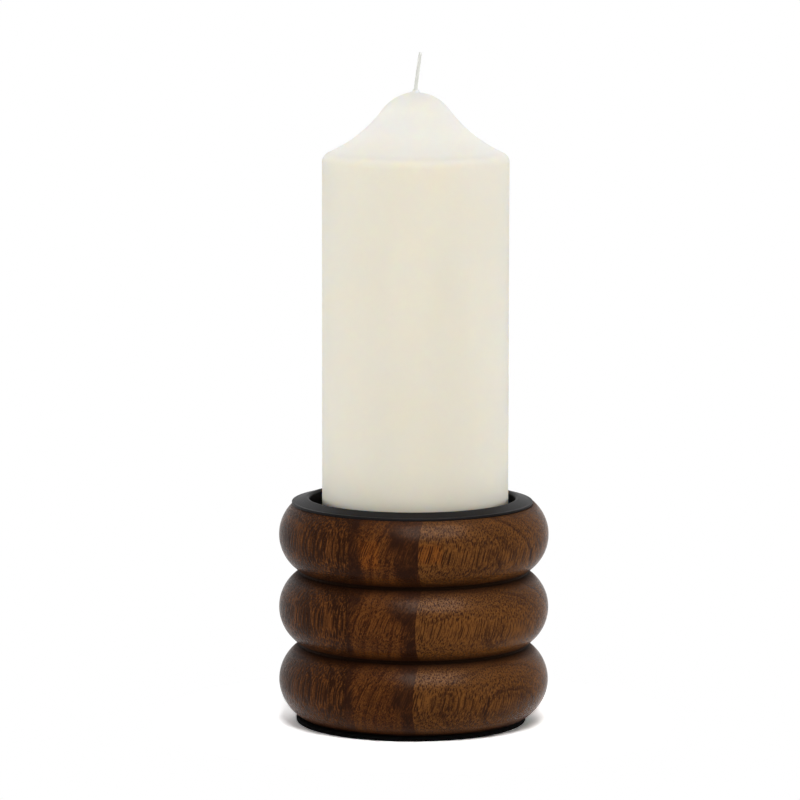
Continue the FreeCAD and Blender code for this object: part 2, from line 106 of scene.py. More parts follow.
# Candle
BASE_EDGE = 1.0 * MM
CAP_HEIGHT = 26.0 * MM
SHOULDER_RADIUS = 3.8 * MM
FLARE_RADIUS = 50.5 * MM
DOME_RADIUS = 15.7 * MM
STANDING_WICK = 15.0 * MM
COLLAR_RADIUS = 1.2 * MM
COLLAR_WALL = 0.3 * MM
COLLAR_DISH = 0.2 * MM
COLLAR_CREEP = 0.3 * MM
CANDLE_SIDES = 256

# Waves of the cast wax, which leave the middle and the foot plain
WAX_WAVE = 0.05 * MM
WAX_WAVE_LENGTHS = (24 * MM, 9 * MM)
PLAIN_CORE = 3 * MM
PLAIN_FOOT = 2 * MM

# Wick: its course
WICK_RADIUS = 0.8 * MM
WICK_CLEARANCE = 0.05 * MM
WICK_BEND = 24.0 * MM
WICK_LEAN = math.radians(7.5)
HIDDEN_STEP, SEEN_STEP = 0.4 * MM, 0.2 * MM

# Wick: yarns braided both ways round a flat core
YARNS_EACH_WAY = 4
YARN_RADIUS = 0.17 * MM
YARN_SIDES = 8
BRAID_LAY = 5.6 * MM
BRAID_WIDE, BRAID_DEEP = 0.585 * MM, 0.44 * MM
BRAID_WEAVE = 0.045 * MM
CORE_WIDE, CORE_DEEP = 0.56 * MM, 0.4 * MM
CORE_SIDES = 14

# Wick: how far below the tip the core and the yarns are cut, the braid's share of its width at the tip, and the share
# of the standing height from which the yarns stray
CORE_CUT = 0.7 * MM
YARN_CUTS = [cut * MM for cut in (0.05, 0.15, 0.3, 0.45, 0.6, 0.8, 1.0, 1.2)]
TIP_SHARE = 0.8
FRAY_START = 0.9
WICK_FRAY = 0.12 * MM

candle_height = wick_high.z - STANDING_WICK - candle_low.z

# Warm patches of the front, in millimetres: left, right, low, high
WARM_MIDDLE = (-19.6, -13.6, 65.0, 75.0)
WARM_RIGHT = (1.6, 9.7, 67.6, 74.4)

# Dark heartwood in the middle board, in millimetres: how far out each seam crosses the X axis, and the stain's width
# from it at some heights
seam_shift = (wood_low.z + wood_high.z) / 2 / MM * math.tan(SEAM_LEAN)
LEFT_EDGE = -SEAM_LEFT / MM / math.cos(SEAM_TURN) - seam_shift
RIGHT_EDGE = SEAM_RIGHT / MM / math.cos(SEAM_TURN) + seam_shift
STAIN_LEFT = ((2, 1.0), (24, 1.5), (29, 3.5), (36, 1.0), (46, 2.0), (54, 6.0), (60, 7.5), (74, 5.5), (82, 5.5))
STAIN_RIGHT = (
    (2, 7.0), (8, 7.5), (18, 8.5), (26, 6.0), (30, 7.5), (42, 2.5), (52, 11.0), (57, 5.0), (66, 7.5), (80, 9.5)
)


# ---------------------------------------------------------------- mesh helpers

def arc(centre, radius, first, last, steps):
    """Points along an arc, angles from the level, either way round."""
    return [
        (centre[0] + radius * math.cos(a), centre[1] + radius * math.sin(a))
        for a in (first + (last - first) * i / steps for i in range(steps + 1))
    ]


def line(start, end, steps):
    """Points along a straight line, both ends included."""
    return [
        (start[0] + (end[0] - start[0]) * i / steps, start[1] + (end[1] - start[1]) * i / steps)
        for i in range(steps + 1)
    ]


def join(*runs):
    """One list of points from several, with doubled ends left out."""
    points = []
    for run in runs:
        for point in run:
            if not points or math.dist(points[-1], point) > SAME_POINT:
                points.append(point)
    return points


def lathe(profile, sides, centre_x=0.0):
    """A mesh turned from a half section, from the axis at one end to the axis at the other."""
    bm = bmesh.new()
    rings = []
    for radius, height in profile:
        if radius < SAME_POINT:
            rings.append([bm.verts.new((centre_x, 0, height))])
            continue
        rings.append(
            [
                bm.verts.new(
                    (
                        centre_x + radius * math.cos(FULL_TURN * i / sides),
                        radius * math.sin(FULL_TURN * i / sides),
                        height,
                    )
                )
                for i in range(sides)
            ]
        )
    for lower, upper in zip(rings, rings[1:]):
        for i in range(sides):
            k = (i + 1) % sides
            corners = [lower[i % len(lower)], lower[k % len(lower)], upper[k % len(upper)], upper[i % len(upper)]]
            unique = list(dict.fromkeys(corners))
            if len(unique) > 2:
                bm.faces.new(unique)
    bmesh.ops.recalc_face_normals(bm, faces=bm.faces)
    return bm


def to_object(bm, name, sharp=math.radians(32)):
    """A smooth-shaded object from a mesh, with its hard edges kept."""
    mesh = bpy.data.meshes.new(name)
    bm.to_mesh(mesh)
    bm.free()
    for polygon in mesh.polygons:
        polygon.use_smooth = True
    mesh.set_sharp_from_angle(angle=sharp)
    piece = bpy.data.objects.new(name, mesh)
    bpy.context.scene.collection.objects.link(piece)
    return piece


def stand_for(piece, node, body, material):
    """The piece takes the place of a CAD node, rides on its body and wears a material."""
    piece.data.materials.append(material)
    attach(piece, body)
    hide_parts(node)


# ---------------------------------------------------------------- shader helpers

class Nodes:
    """The node tree of a material or world, emptied, and short calls that add nodes to it."""

    def __init__(self, owner):
        owner.use_nodes = True
        self.tree = owner.node_tree
        self.tree.nodes.clear()

    def feed(self, socket, value):
        """Link or set an input."""
        if isinstance(value, bpy.types.NodeSocket):
            self.tree.links.new(value, socket)
        else:
            socket.default_value = value

    def coordinates(self, kind):
        return self.tree.nodes.new("ShaderNodeTexCoord").outputs[kind]

    def seen_directly(self):
        """1 for rays from the camera and for the ones that gloss and glass send on, 0 for light on the object."""
        path = self.tree.nodes.new("ShaderNodeLightPath")
        total = path.outputs["Is Camera Ray"]
        for name in ("Is Glossy Ray", "Is Transmission Ray"):
            total = self.math("MAXIMUM", total, path.outputs[name])
        return total

    def math(self, operation, first, second=0.0, third=0.0, clamp=False):
        node = self.tree.nodes.new("ShaderNodeMath")
        node.operation = operation
        node.use_clamp = clamp
        for socket, value in zip(node.inputs, (first, second, third)):
            self.feed(socket, value)
        return node.outputs[0]

    def add(self, *values):
        """The sum of several values."""
        total = values[0]
        for value in values[1:]:
            total = self.math("ADD", total, value)
        return total

    def times(self, first, second):
        return self.math("MULTIPLY", first, second)

    def vector(self, operation, first, second=(0, 0, 0), scale=1.0):
        node = self.tree.nodes.new("ShaderNodeVectorMath")
        node.operation = operation
        self.feed(node.inputs[0], first)
        self.feed(node.inputs[1], second)
        if operation == "SCALE":
            node.inputs["Scale"].default_value = scale
        return node.outputs["Vector"]

    def split(self, vector):
        node = self.tree.nodes.new("ShaderNodeSeparateXYZ")
        self.feed(node.inputs[0], vector)
        return node.outputs[0], node.outputs[1], node.outputs[2]

    def from_axis(self, x, y):
        """Distance from the upright axis."""
        return self.math("SQRT", self.add(self.times(x, x), self.times(y, y)))

    def combine(self, x, y, z):
        node = self.tree.nodes.new("ShaderNodeCombineXYZ")
        for socket, value in zip(node.inputs, (x, y, z)):
            self.feed(socket, value)
        return node.outputs[0]

    def turn(self, vector, angles):
        """The vector turned by three angles."""
        turned = self.tree.nodes.new("ShaderNodeVectorRotate")
        turned.rotation_type = "EULER_XYZ"
        self.feed(turned.inputs["Vector"], vector)
        turned.inputs["Rotation"].default_value = angles
        return turned.outputs[0]

    def noise(self, vector, scale, detail=2.0, roughness=0.5):
        """Noise from 0 to 1 and in colour, with scale in waves per unit of the vector."""
        node = self.tree.nodes.new("ShaderNodeTexNoise")
        self.feed(node.inputs["Vector"], vector)
        node.inputs["Scale"].default_value = scale
        node.inputs["Detail"].default_value = detail
        node.inputs["Roughness"].default_value = roughness
        return node.outputs["Fac"], node.outputs["Color"]

    def tubes(self, vector, scale):
        """Distance to the nearest of scattered lines along Z, scale to the unit of the vector."""
        node = self.tree.nodes.new("ShaderNodeTexVoronoi")
        node.voronoi_dimensions = "2D"
        self.feed(node.inputs["Vector"], vector)
        node.inputs["Scale"].default_value = scale
        return node.outputs["Distance"]

    def remap(self, value, low, high, to_low=0.0, to_high=1.0):
        """A smooth step from one range to another."""
        node = self.tree.nodes.new("ShaderNodeMapRange")
        node.interpolation_type = "SMOOTHSTEP"
        for name, number in (
            ("Value", value), ("From Min", low), ("From Max", high), ("To Min", to_low), ("To Max", to_high)
        ):
            self.feed(node.inputs[name], number)
        return node.outputs[0]

    def mix(self, factor, first, second):
        """A colour between two."""
        node = self.tree.nodes.new("ShaderNodeMix")
        node.data_type = "RGBA"
        self.feed(node.inputs[0], factor)
        self.feed(node.inputs[6], first)
        self.feed(node.inputs[7], second)
        return node.outputs[2]


class Shader(Nodes):
    """A principled material. Its place, which the textures take, is in millimetres."""

    def __init__(self, name):
        self.material = bpy.data.materials.new(name)
        super().__init__(self.material)
        self.surface = self.tree.nodes.new("ShaderNodeBsdfPrincipled")
        output = self.tree.nodes.new("ShaderNodeOutputMaterial")
        self.feed(output.inputs["Surface"], self.surface.outputs[0])
        self.place = self.vector("SCALE", self.coordinates("Object"), scale=1 / MM)

    def set(self, name, value):
        """An input of the surface shader."""
        self.feed(self.surface.inputs[name], value)

    def bump(self, height, strength, distance):
        """A bump on the whole surface; distance in metres for a height of 1."""
        node = self.tree.nodes.new("ShaderNodeBump")
        self.feed(node.inputs["Height"], height)
        node.inputs["Strength"].default_value = strength
        node.inputs["Distance"].default_value = distance
        self.set("Normal", node.outputs[0])


def colour(red, green, blue):
    """A colour from its 0 to 255 screen values."""
    def linear(value):
        part = value / 255
        return part / 12.92 if part <= 0.04045 else ((part + 0.055) / 1.055) ** 2.4
    return (linear(red), linear(green), linear(blue), 1.0)


# ---------------------------------------------------------------- materials

PORE = colour(38, 18, 7)
WARM = colour(132, 72, 24)
# Near-black painted shadow at the bottom of the grooves
GROOVE_PAINTED_SHADOW = colour(15, 7, 3)

# Grain of the walnut: how far it strays from straight, in millimetres, and its vessels to the millimetre
GRAIN_WANDER = 3.2
GRAIN_RIPPLE = 0.4
LAYER_WANDER = 6.0
VESSELS = 1.05
SMALL_VESSELS = 2.0

# Depths under the crests, in millimetres, over which painted shade darkens the wood into the grooves, then turns to a
# painted near-black shadow in the groove
GROOVE_SHADE_FROM = 3.2
SHADOW_FROM, SHADOW_TO = 6.7, 7.5


def walnut(name, palette, lean, pores, warm, figure, stain_mask):
    """Satin lacquered walnut.

    palette runs from the lightest layer to the darkest, then the heartwood stain. lean is the grain's lean to the
    right, from the upright, and pores the size of its vessels against the common one. warm is a warmer patch of the
    front, or None. figure gives the growth layers' coordinate and stain_mask the dark heartwood, both from the place
    in millimetres.
    """
    gold, brown, umber, stain = palette
    s = Shader(name)
    x, y, z = s.split(s.place)
    _, wander = s.noise(s.vector("MULTIPLY", s.place, (1, 1, 0.35)), 0.07, 2.0)
    wander = s.vector("SUBTRACT", wander, (0.5, 0.5, 0.5))
    _, ripple = s.noise(s.vector("MULTIPLY", s.place, (1, 1, 0.5)), 0.45, 1.0)
    ripple = s.vector("SUBTRACT", ripple, (0.5, 0.5, 0.5))
    along = s.turn(s.place, (0, -lean, 0))
    bent = s.vector("ADD", along, s.vector("SCALE", wander, scale=GRAIN_WANDER))
    vessels_at = s.vector("ADD", bent, s.vector("SCALE", ripple, scale=GRAIN_RIPPLE))

    # Growth layers
    layer = s.add(figure(s, x, y, z), s.times(s.split(wander)[0], LAYER_WANDER))
    layer_line = s.combine(layer, 0.0, s.times(z, 0.02))
    broad, _ = s.noise(layer_line, 0.14, 1.0)
    narrow, _ = s.noise(layer_line, 0.6, 2.0, 0.6)
    cloud, _ = s.noise(s.place, 0.06, 2.0)

    # Fibres, and vessels: tubes along the grain, so they are streaks on a crest and dots on a slope
    fibre, _ = s.noise(s.vector("MULTIPLY", bent, (1, 1, 0.07)), 1.5, 3.0, 0.65)
    fine_fibre, _ = s.noise(s.vector("MULTIPLY", bent, (1, 1, 0.12)), 3.6, 2.0, 0.6)
    speckle, _ = s.noise(s.place, 1.7, 1.0, 0.6)
    size = s.remap(narrow, 0.3, 0.7, 0.18 * pores, 0.29 * pores)
    vessel = s.math("SUBTRACT", 1.0, s.remap(s.tubes(vessels_at, VESSELS), s.times(size, 0.6), size))
    small = s.tubes(vessels_at, SMALL_VESSELS)
    small_vessel = s.math("SUBTRACT", 1.0, s.remap(small, 0.18 * pores, 0.34 * pores))
    ring = s.math("FRACT", s.add(s.times(layer, 0.2), s.times(broad, 1.5)))
    latewood = s.math("POWER", ring, 3.0)

    def about_zero(value, weight):
        return s.times(s.math("SUBTRACT", value, 0.5), weight)

    tone = s.add(
        about_zero(broad, 1.3), about_zero(narrow, 1.1), about_zero(fibre, 2.2), about_zero(fine_fibre, 1.6),
        about_zero(cloud, 1.0), about_zero(speckle, 1.8), s.times(latewood, 0.45), 0.3,
    )
    tone = s.math("ADD", tone, 0.0, clamp=True)
    base = s.mix(s.remap(tone, 0.0, 0.5), gold, brown)
    base = s.mix(s.remap(tone, 0.45, 1.0), base, umber)
    if warm:
        left, right, low, high = warm
        across = s.times(s.remap(x, left - 1.5, left + 0.5), s.remap(x, right + 1.5, right - 0.5))
        upright = s.times(s.remap(z, low - 1.5, low + 1.5), s.remap(z, high + 1.5, high - 1.5))
        front = s.remap(y, -30.0, -36.0)
        mask = s.times(s.times(across, upright), s.times(front, s.remap(tone, 0.9, 0.2, 0.1, 0.48)))
        base = s.mix(mask, base, WARM)
    base = s.mix(stain_mask(s, x, y, z, cloud, fibre), base, stain)
    base = s.mix(s.times(small_vessel, 0.55), base, PORE)
    base = s.mix(s.times(vessel, 0.92), base, PORE)

    # Painted shade darkening the wood into the grooves, and a painted near-black shadow on the groove's flat, where the
    # surface is also rougher
    depth = s.math("SUBTRACT", crest_radius / MM, s.from_axis(x, y))
    groove_painted_shade = s.remap(depth, GROOVE_SHADE_FROM, GROOVE_DEPTH / MM, 0.0, 0.92)
    base = s.mix(groove_painted_shade, base, s.mix(0.8, umber, PORE))
    base = s.mix(s.remap(depth, SHADOW_FROM, SHADOW_TO, 0.0, 0.85), base, GROOVE_PAINTED_SHADOW)
    s.set("Base Color", base)
    s.set("Roughness", s.add(s.remap(s.add(fibre, s.times(vessel, 0.4)), 0.2, 1.0, 0.2, 0.3), s.times(groove_painted_shade, 0.4)))
    s.set("IOR", 1.1)
    s.set("Specular Tint", (1.0, 0.85, 0.73, 1.0))
    height = s.add(s.times(vessel, -0.8), s.times(small_vessel, -0.3), s.times(fibre, 0.25), s.times(cloud, 0.5))
    s.bump(height, 0.6, 0.12 * MM)
    return s.material


def figure_left(s, x, y, z):
    """Upright layers, edge on to the front."""
    return s.add(s.times(x, 0.9), s.times(y, 0.25), s.times(z, -0.03))


def figure_middle(s, x, y, z):
    """Layers turned and leaning, so that they cross the front at a slant."""
    return s.add(s.times(x, 0.8), s.times(y, -0.5), s.times(z, -0.3))


def figure_right(s, x, y, z):
    """Layers whose facing turns with the height, so that each crest cuts ovals out of them."""
    facing = s.math("MULTIPLY_ADD", z, -0.0121, 1.04)
    return s.add(s.times(facing, x), s.times(y, -0.85))


def faint_stain(s, x, y, z, cloud, fibre):
    """Hardly any heartwood, only a few soft clouds."""
    return s.remap(cloud, 0.68, 0.9, 0.0, 0.35)


def heart_stain(s, x, y, z, cloud, fibre):
    """Dark heartwood beside both seams, whose width changes up the wood."""
    patch, _ = s.noise(s.vector("MULTIPLY", s.place, (1, 1, 0.6)), 0.16, 3.0, 0.6)
    ragged = s.add(s.times(s.math("SUBTRACT", patch, 0.5), 9.0), s.times(s.math("SUBTRACT", fibre, 0.5), 5.0))

    def width(heights):
        """Width in millimetres from (height, width) pairs, on a smooth line."""
        total = heights[0][1]
        for (low, first), (high, second) in zip(heights, heights[1:]):
            total = s.add(total, s.remap(z, low, high, 0.0, second - first))
        return total

    across = s.add(x, s.times(y, -math.tan(SEAM_TURN)), s.times(z, math.tan(SEAM_LEAN)))
    from_left = s.add(across, LEFT_EDGE)
    from_right = s.math("SUBTRACT", RIGHT_EDGE, across)
    left_edge = s.math("SUBTRACT", from_left, s.add(width(STAIN_LEFT), s.times(ragged, 0.45)))
    right_edge = s.math("SUBTRACT", from_right, s.add(width(STAIN_RIGHT), s.times(ragged, 0.9)))
    left = s.math("SUBTRACT", 1.0, s.remap(left_edge, -1.2, 1.6))
    right = s.math("SUBTRACT", 1.0, s.remap(right_edge, -2.5, 3.0))
    uneven = s.remap(s.add(patch, s.times(fibre, 0.8)), 0.6, 1.1, 0.45, 0.95)
    return s.times(s.math("MAXIMUM", left, right), uneven)


def make_wax():
    """Ivory wax, with painted light from above: the cap whiter than the wall, and whitest low on the flare."""
    s = Shader("ivory_wax")
    height = s.split(s.place)[2]
    mottle, _ = s.noise(s.place, 0.03, 3.0)
    cloud, _ = s.noise(s.vector("MULTIPLY", s.place, (1, 1, 0.5)), 0.22, 3.0)
    shade = s.add(mottle, s.times(cloud, 0.3))
    wall = s.mix(shade, colour(228, 224, 211), colour(225, 220, 204))

    # The wall's colour gives way to the cap's painted light in the millimetres above the shoulder; the painted light is
    # strongest low on the flare and less on the dome
    shoulder = (candle_low.z + candle_height - CAP_HEIGHT) / MM
    cap_painted_light = s.mix(s.remap(height, shoulder + 9, shoulder + 17), colour(240, 237, 227), colour(236, 234, 226))
    s.set("Base Color", s.mix(s.remap(height, shoulder + 0.5, shoulder + 5), wall, cap_painted_light))

    s.set("Subsurface Weight", 1.0)
    s.set("Subsurface Radius", (1.0, 0.8, 0.5))
    s.set("Subsurface Scale", 2.5 * MM)
    s.set("Roughness", 0.5)
    s.set("Specular IOR Level", 0.0)
    fine, _ = s.noise(s.place, 1.6, 2.0)
    s.bump(s.add(cloud, s.times(fine, 0.08)), 0.4, 0.08 * MM)
    return s.material


def make_powder_coat():
    """Black powder coat, satin, with a fine orange peel."""
    s = Shader("black_powder_coat")
    grain, _ = s.noise(s.place, 3.2, 2.0)
    broad, _ = s.noise(s.place, 0.12, 2.0)
    s.set("Base Color", s.mix(broad, (0.0074, 0.0066, 0.0070, 1), (0.0090, 0.0080, 0.0085, 1)))
    s.set("Roughness", s.remap(grain, 0.3, 0.7, 0.38, 0.46))
    s.set("Specular IOR Level", 0.04)
    s.bump(grain, 0.35, 0.02 * MM)
    return s.material


def make_felt():
    """Dense black felt, mottled by its clumps."""
    s = Shader("black_felt")
    fibres, _ = s.noise(s.vector("MULTIPLY", s.place, (1, 1, 2.5)), 2.4, 4.0, 0.7)
    clumps, _ = s.noise(s.place, 0.7, 2.0)
    s.set("Base Color", s.mix(s.times(fibres, clumps), (0.0012, 0.0011, 0.0011, 1), (0.0056, 0.0052, 0.0052, 1)))
    s.set("Roughness", 0.95)
    s.set("Specular IOR Level", 0.03)
    s.bump(s.add(fibres, s.times(clumps, 0.6)), 0.9, 0.25 * MM)
    return s.material


def make_cotton():
    """White cotton yarn, stiff with wax."""
    s = Shader("wick_cotton")
    fibres, _ = s.noise(s.vector("MULTIPLY", s.place, (1, 1, 0.4)), 7.0, 3.0, 0.6)
    s.set("Base Color", s.mix(fibres, colour(211, 212, 206), colour(235, 236, 230)))
    s.set("Roughness", 0.85)
    s.set("Specular IOR Level", 0.1)
    s.bump(fibres, 0.4, 0.04 * MM)
    return s.material


# ---------------------------------------------------------------- turned wood

def wood_profile():
    """Half section of the turned wood, up the outside and down into the recess."""
    bottom, top = wood_low.z, wood_high.z
    runs = []
    for ring in range(RING_COUNT):
        height = bottom + ARC_RADIUS - FOOT_TRIM + ring * ring_pitch
        low = FOOT_TRIM - ARC_RADIUS if ring == 0 else -half_ring
        high = ARC_RADIUS - TOP_TRIM if ring == RING_COUNT - 1 else half_ring
        runs.append(
            arc((ring_centre_radius, height), ARC_RADIUS, math.asin(low / ARC_RADIUS), math.asin(high / ARC_RADIUS), 44)
        )
    foot_radius = runs[0][0][0]
    top_radius = runs[-1][-1][0]
    floor = cup_low.z - FLOOR_CLEARANCE
    mouth = recess_radius + RECESS_CHAMFER
    return join(
        line((0.0, bottom), (foot_radius, bottom), 12),
        *runs,
        line((top_radius, top), (mouth, top), 3),
        line((mouth, top), (recess_radius, top - RECESS_CHAMFER), 1),
        line((recess_radius, top - RECESS_CHAMFER), (recess_radius, floor), 12),
        line((recess_radius, floor), (0.0, floor), 12),
    )


def make_board(name, planes):
    """One board: the turned wood cut at its seams, each a point on the plane and the side to clear."""
    bm = lathe(wood_profile(), WOOD_SIDES)
    for vertex in bm.verts:
        x, y, z = vertex.co
        radius = math.hypot(x, y)
        if radius > recess_radius + RECESS_CHAMFER and wood_low.z < z < wood_high.z:
            wave = noise.noise(Vector((x, y, z * 2.5)) / TURNING_WAVE_LENGTH) - 1
            shrink = 1 + 0.5 * TURNING_WAVE * wave / radius
            vertex.co.x *= shrink
            vertex.co.y *= shrink
    middle = Vector((0, 0, (wood_low.z + wood_high.z) / 2))
    facing = Matrix.Rotation(-SEAM_TURN, 3, "Z") @ Matrix.Rotation(SEAM_LEAN, 3, "Y") @ Vector((1, 0, 0))
    for distance, clear_far in planes:
        cut = bmesh.ops.bisect_plane(
            bm,
            geom=bm.verts[:] + bm.edges[:] + bm.faces[:],
            dist=SAME_POINT,
            plane_co=middle + facing * distance,
            plane_no=facing,
            clear_outer=clear_far,
            clear_inner=not clear_far,
        )
        edges = [item for item in cut["geom_cut"] if isinstance(item, bmesh.types.BMEdge)]
        filled = bmesh.ops.edgeloop_fill(bm, edges=edges)
        bmesh.ops.triangulate(bm, faces=filled["faces"], ngon_method="BEAUTY")
    bmesh.ops.recalc_face_normals(bm, faces=bm.faces)
    return to_object(bm, name)


# ---------------------------------------------------------------- felt pad

def make_pad():
    """A felt disc with a slightly uneven, hairy edge."""
    radius = (pad_high.x - pad_low.x) / 2
    centre_x = (pad_high.x + pad_low.x) / 2
    low, high = pad_low.z, pad_high.z
    flat = radius - PAD_EDGE
    profile = join(
        line((0.0, low), (flat, low), 24),
        arc((flat, low + PAD_EDGE), PAD_EDGE, -QUARTER_TURN, 0, 4),
        line((radius, low + PAD_EDGE), (radius, high - PAD_EDGE), 3),
        arc((flat, high - PAD_EDGE), PAD_EDGE, 0, QUARTER_TURN, 4),
        line((flat, high), (0.0, high), 24),
    )
    bm = lathe(profile, PAD_SIDES, centre_x)
    for vertex in bm.verts:
        x, y, z = vertex.co
        out = Vector((x - centre_x, y, 0))
        reach = out.length / radius
        if reach > 0.97:
            # Only the rim is rough
            coarse, fine = (noise.noise(vertex.co / length) for length in PAD_FRAY_LENGTHS)
            broad = noise.noise(vertex.co / PAD_WAVE_LENGTH)
            inward = PAD_FRAY * (coarse + 0.6 * fine + 1.6) / 2 + PAD_WAVE * (broad + 1)
            vertex.co -= out.normalized() * inward
    return to_object(bm, "felt_pad", math.radians(80))


# ---------------------------------------------------------------- cup

def make_cup():
    """The pressed cup, one even sheet with softened bends."""
    rim = (cup_high.x - cup_low.x) / 2
    centre_x = (cup_high.x + cup_low.x) / 2
    outer = recess_radius - CUP_CLEARANCE
    inner = outer - SHEET
    lip = CUP_BEND + SHEET
    crest = cup_high.z
    seat = crest - CUP_CREST
    base = cup_low.z
    land = rim - FLANGE_LAND
    centre = (inner + lip, crest - lip)
    run = land - centre[0]
    fall = centre[1] - (seat + SHEET)
    slope = math.atan2(fall, run) + math.asin(lip / math.hypot(run, fall))

    # The bend from slope to land, above and below
    above = FLANGE_BEND
    above_reach = above * math.tan(slope / 2)
    above_bend = arc((land + above_reach, seat + SHEET + above), above, -QUARTER_TURN - slope, -QUARTER_TURN, 6)
    land_under = land - SHEET * math.tan(slope / 2)
    under = FLANGE_BEND + SHEET
    under_reach = under * math.tan(slope / 2)
    under_bend = arc((land_under + under_reach, seat + under), under, -QUARTER_TURN, -QUARTER_TURN - slope, 6)
    profile = join(
        line((0.0, base + SHEET), (inner - CUP_CORNER, base + SHEET), 10),
        arc((inner - CUP_CORNER, base + SHEET + CUP_CORNER), CUP_CORNER, -QUARTER_TURN, 0, 10),
        line((inner, base + SHEET + CUP_CORNER), (inner, crest - lip), 10),
        arc(centre, lip, math.pi, QUARTER_TURN - slope, 20),
        above_bend,
        arc((rim - FLANGE_EDGE, seat + SHEET - FLANGE_EDGE), FLANGE_EDGE, QUARTER_TURN, 0, 6),
        arc((rim - FLANGE_EDGE, seat + FLANGE_EDGE), FLANGE_EDGE, 0, -QUARTER_TURN, 6),
        under_bend,
        arc(centre, CUP_BEND, QUARTER_TURN - slope, math.pi, 8),
        line((outer, crest - lip), (outer, base + SHEET + CUP_CORNER), 10),
        arc((inner - CUP_CORNER, base + SHEET + CUP_CORNER), CUP_CORNER + SHEET, 0, -QUARTER_TURN, 10),
        line((inner - CUP_CORNER, base), (0.0, base), 10),
    )
    return to_object(lathe(profile, CUP_SIDES, centre_x), "pressed_cup")


# ---------------------------------------------------------------- candle

def make_candle_mesh():
    """Cast wax: straight wall, round shoulder, hollow flare, dome, and a collar of wax up the wick."""
    radius = (candle_high.x - candle_low.x) / 2
    centre_x = (candle_high.x + candle_low.x) / 2
    base = candle_low.z
    bore = WICK_RADIUS + WICK_CLEARANCE
    rim = bore + COLLAR_WALL
    dome_centre = Vector((0, base + candle_height - DOME_RADIUS))
    shoulder_centre = Vector((radius - SHOULDER_RADIUS, base + candle_height - CAP_HEIGHT))
    span = shoulder_centre - dome_centre
    to_dome = DOME_RADIUS + FLARE_RADIUS
    to_shoulder = FLARE_RADIUS + SHOULDER_RADIUS
    along = (span.length**2 + to_dome**2 - to_shoulder**2) / (2 * span.length)
    aside = math.sqrt(to_dome**2 - along**2)
    direction = span.normalized()
    flare_centre = dome_centre + direction * along + Vector((-direction.y, direction.x)) * aside
    collar_x = rim + COLLAR_RADIUS
    collar_centre = Vector((collar_x, dome_centre.y + math.sqrt((DOME_RADIUS + COLLAR_RADIUS) ** 2 - collar_x**2)))

    def angle(centre, target):
        return math.atan2(target.y - centre.y, target.x - centre.x)

    profile = join(
        line((0.0, base), (radius - BASE_EDGE, base), 16),
        arc((radius - BASE_EDGE, base + BASE_EDGE), BASE_EDGE, -QUARTER_TURN, 0, 6),
        line((radius, base + BASE_EDGE), (radius, shoulder_centre.y), 90),
        arc(shoulder_centre, SHOULDER_RADIUS, 0, angle(shoulder_centre, flare_centre), 14),
        arc(
            flare_centre, FLARE_RADIUS,
            angle(flare_centre, shoulder_centre) % FULL_TURN, angle(flare_centre, dome_centre) % FULL_TURN, 34,
        ),
        arc(dome_centre, DOME_RADIUS, angle(dome_centre, flare_centre), angle(dome_centre, collar_centre), 40),
        arc(collar_centre, COLLAR_RADIUS, angle(collar_centre, dome_centre) % FULL_TURN, math.pi, 8),
        line((rim, collar_centre.y), (0.0, collar_centre.y - COLLAR_DISH), 3),
    )
    bm = lathe(profile, CANDLE_SIDES, centre_x)
    for vertex in bm.verts:
        x, y, z = vertex.co
        out = Vector((x - centre_x, y, 0))
        if out.length > PLAIN_CORE and z > base + PLAIN_FOOT:
            long, short = WAX_WAVE_LENGTHS
            wave = noise.noise(Vector((x, y, z * 0.6)) / long) + 0.5 * noise.noise(vertex.co / short)
            vertex.co -= out.normalized() * WAX_WAVE * (wave + 1.5)
        elif z > collar_centre.y - COLLAR_RADIUS:
            # Wax has crept higher up one side of the wick
            vertex.co.z -= COLLAR_CREEP * (x - centre_x) / collar_x
    return to_object(bm, "cast_candle", math.radians(60))


# ---------------------------------------------------------------- wick

def wick_line(height):
    """Middle of the wick at a height above its base: upright in the wax, bent over and leaning above it."""
    rise = candle_high.z - wick_low.z
    if height <= rise:
        return Vector((0, 0, height))
    bend_rise = WICK_BEND * math.sin(WICK_LEAN)
    above = height - rise
    if above <= bend_rise:
        lean = math.asin(above / WICK_BEND)
        return Vector((WICK_BEND * (1 - math.cos(lean)), 0, height))
    side = WICK_BEND * (1 - math.cos(WICK_LEAN)) + (above - bend_rise) * math.tan(WICK_LEAN)
    return Vector((side, 0, height))


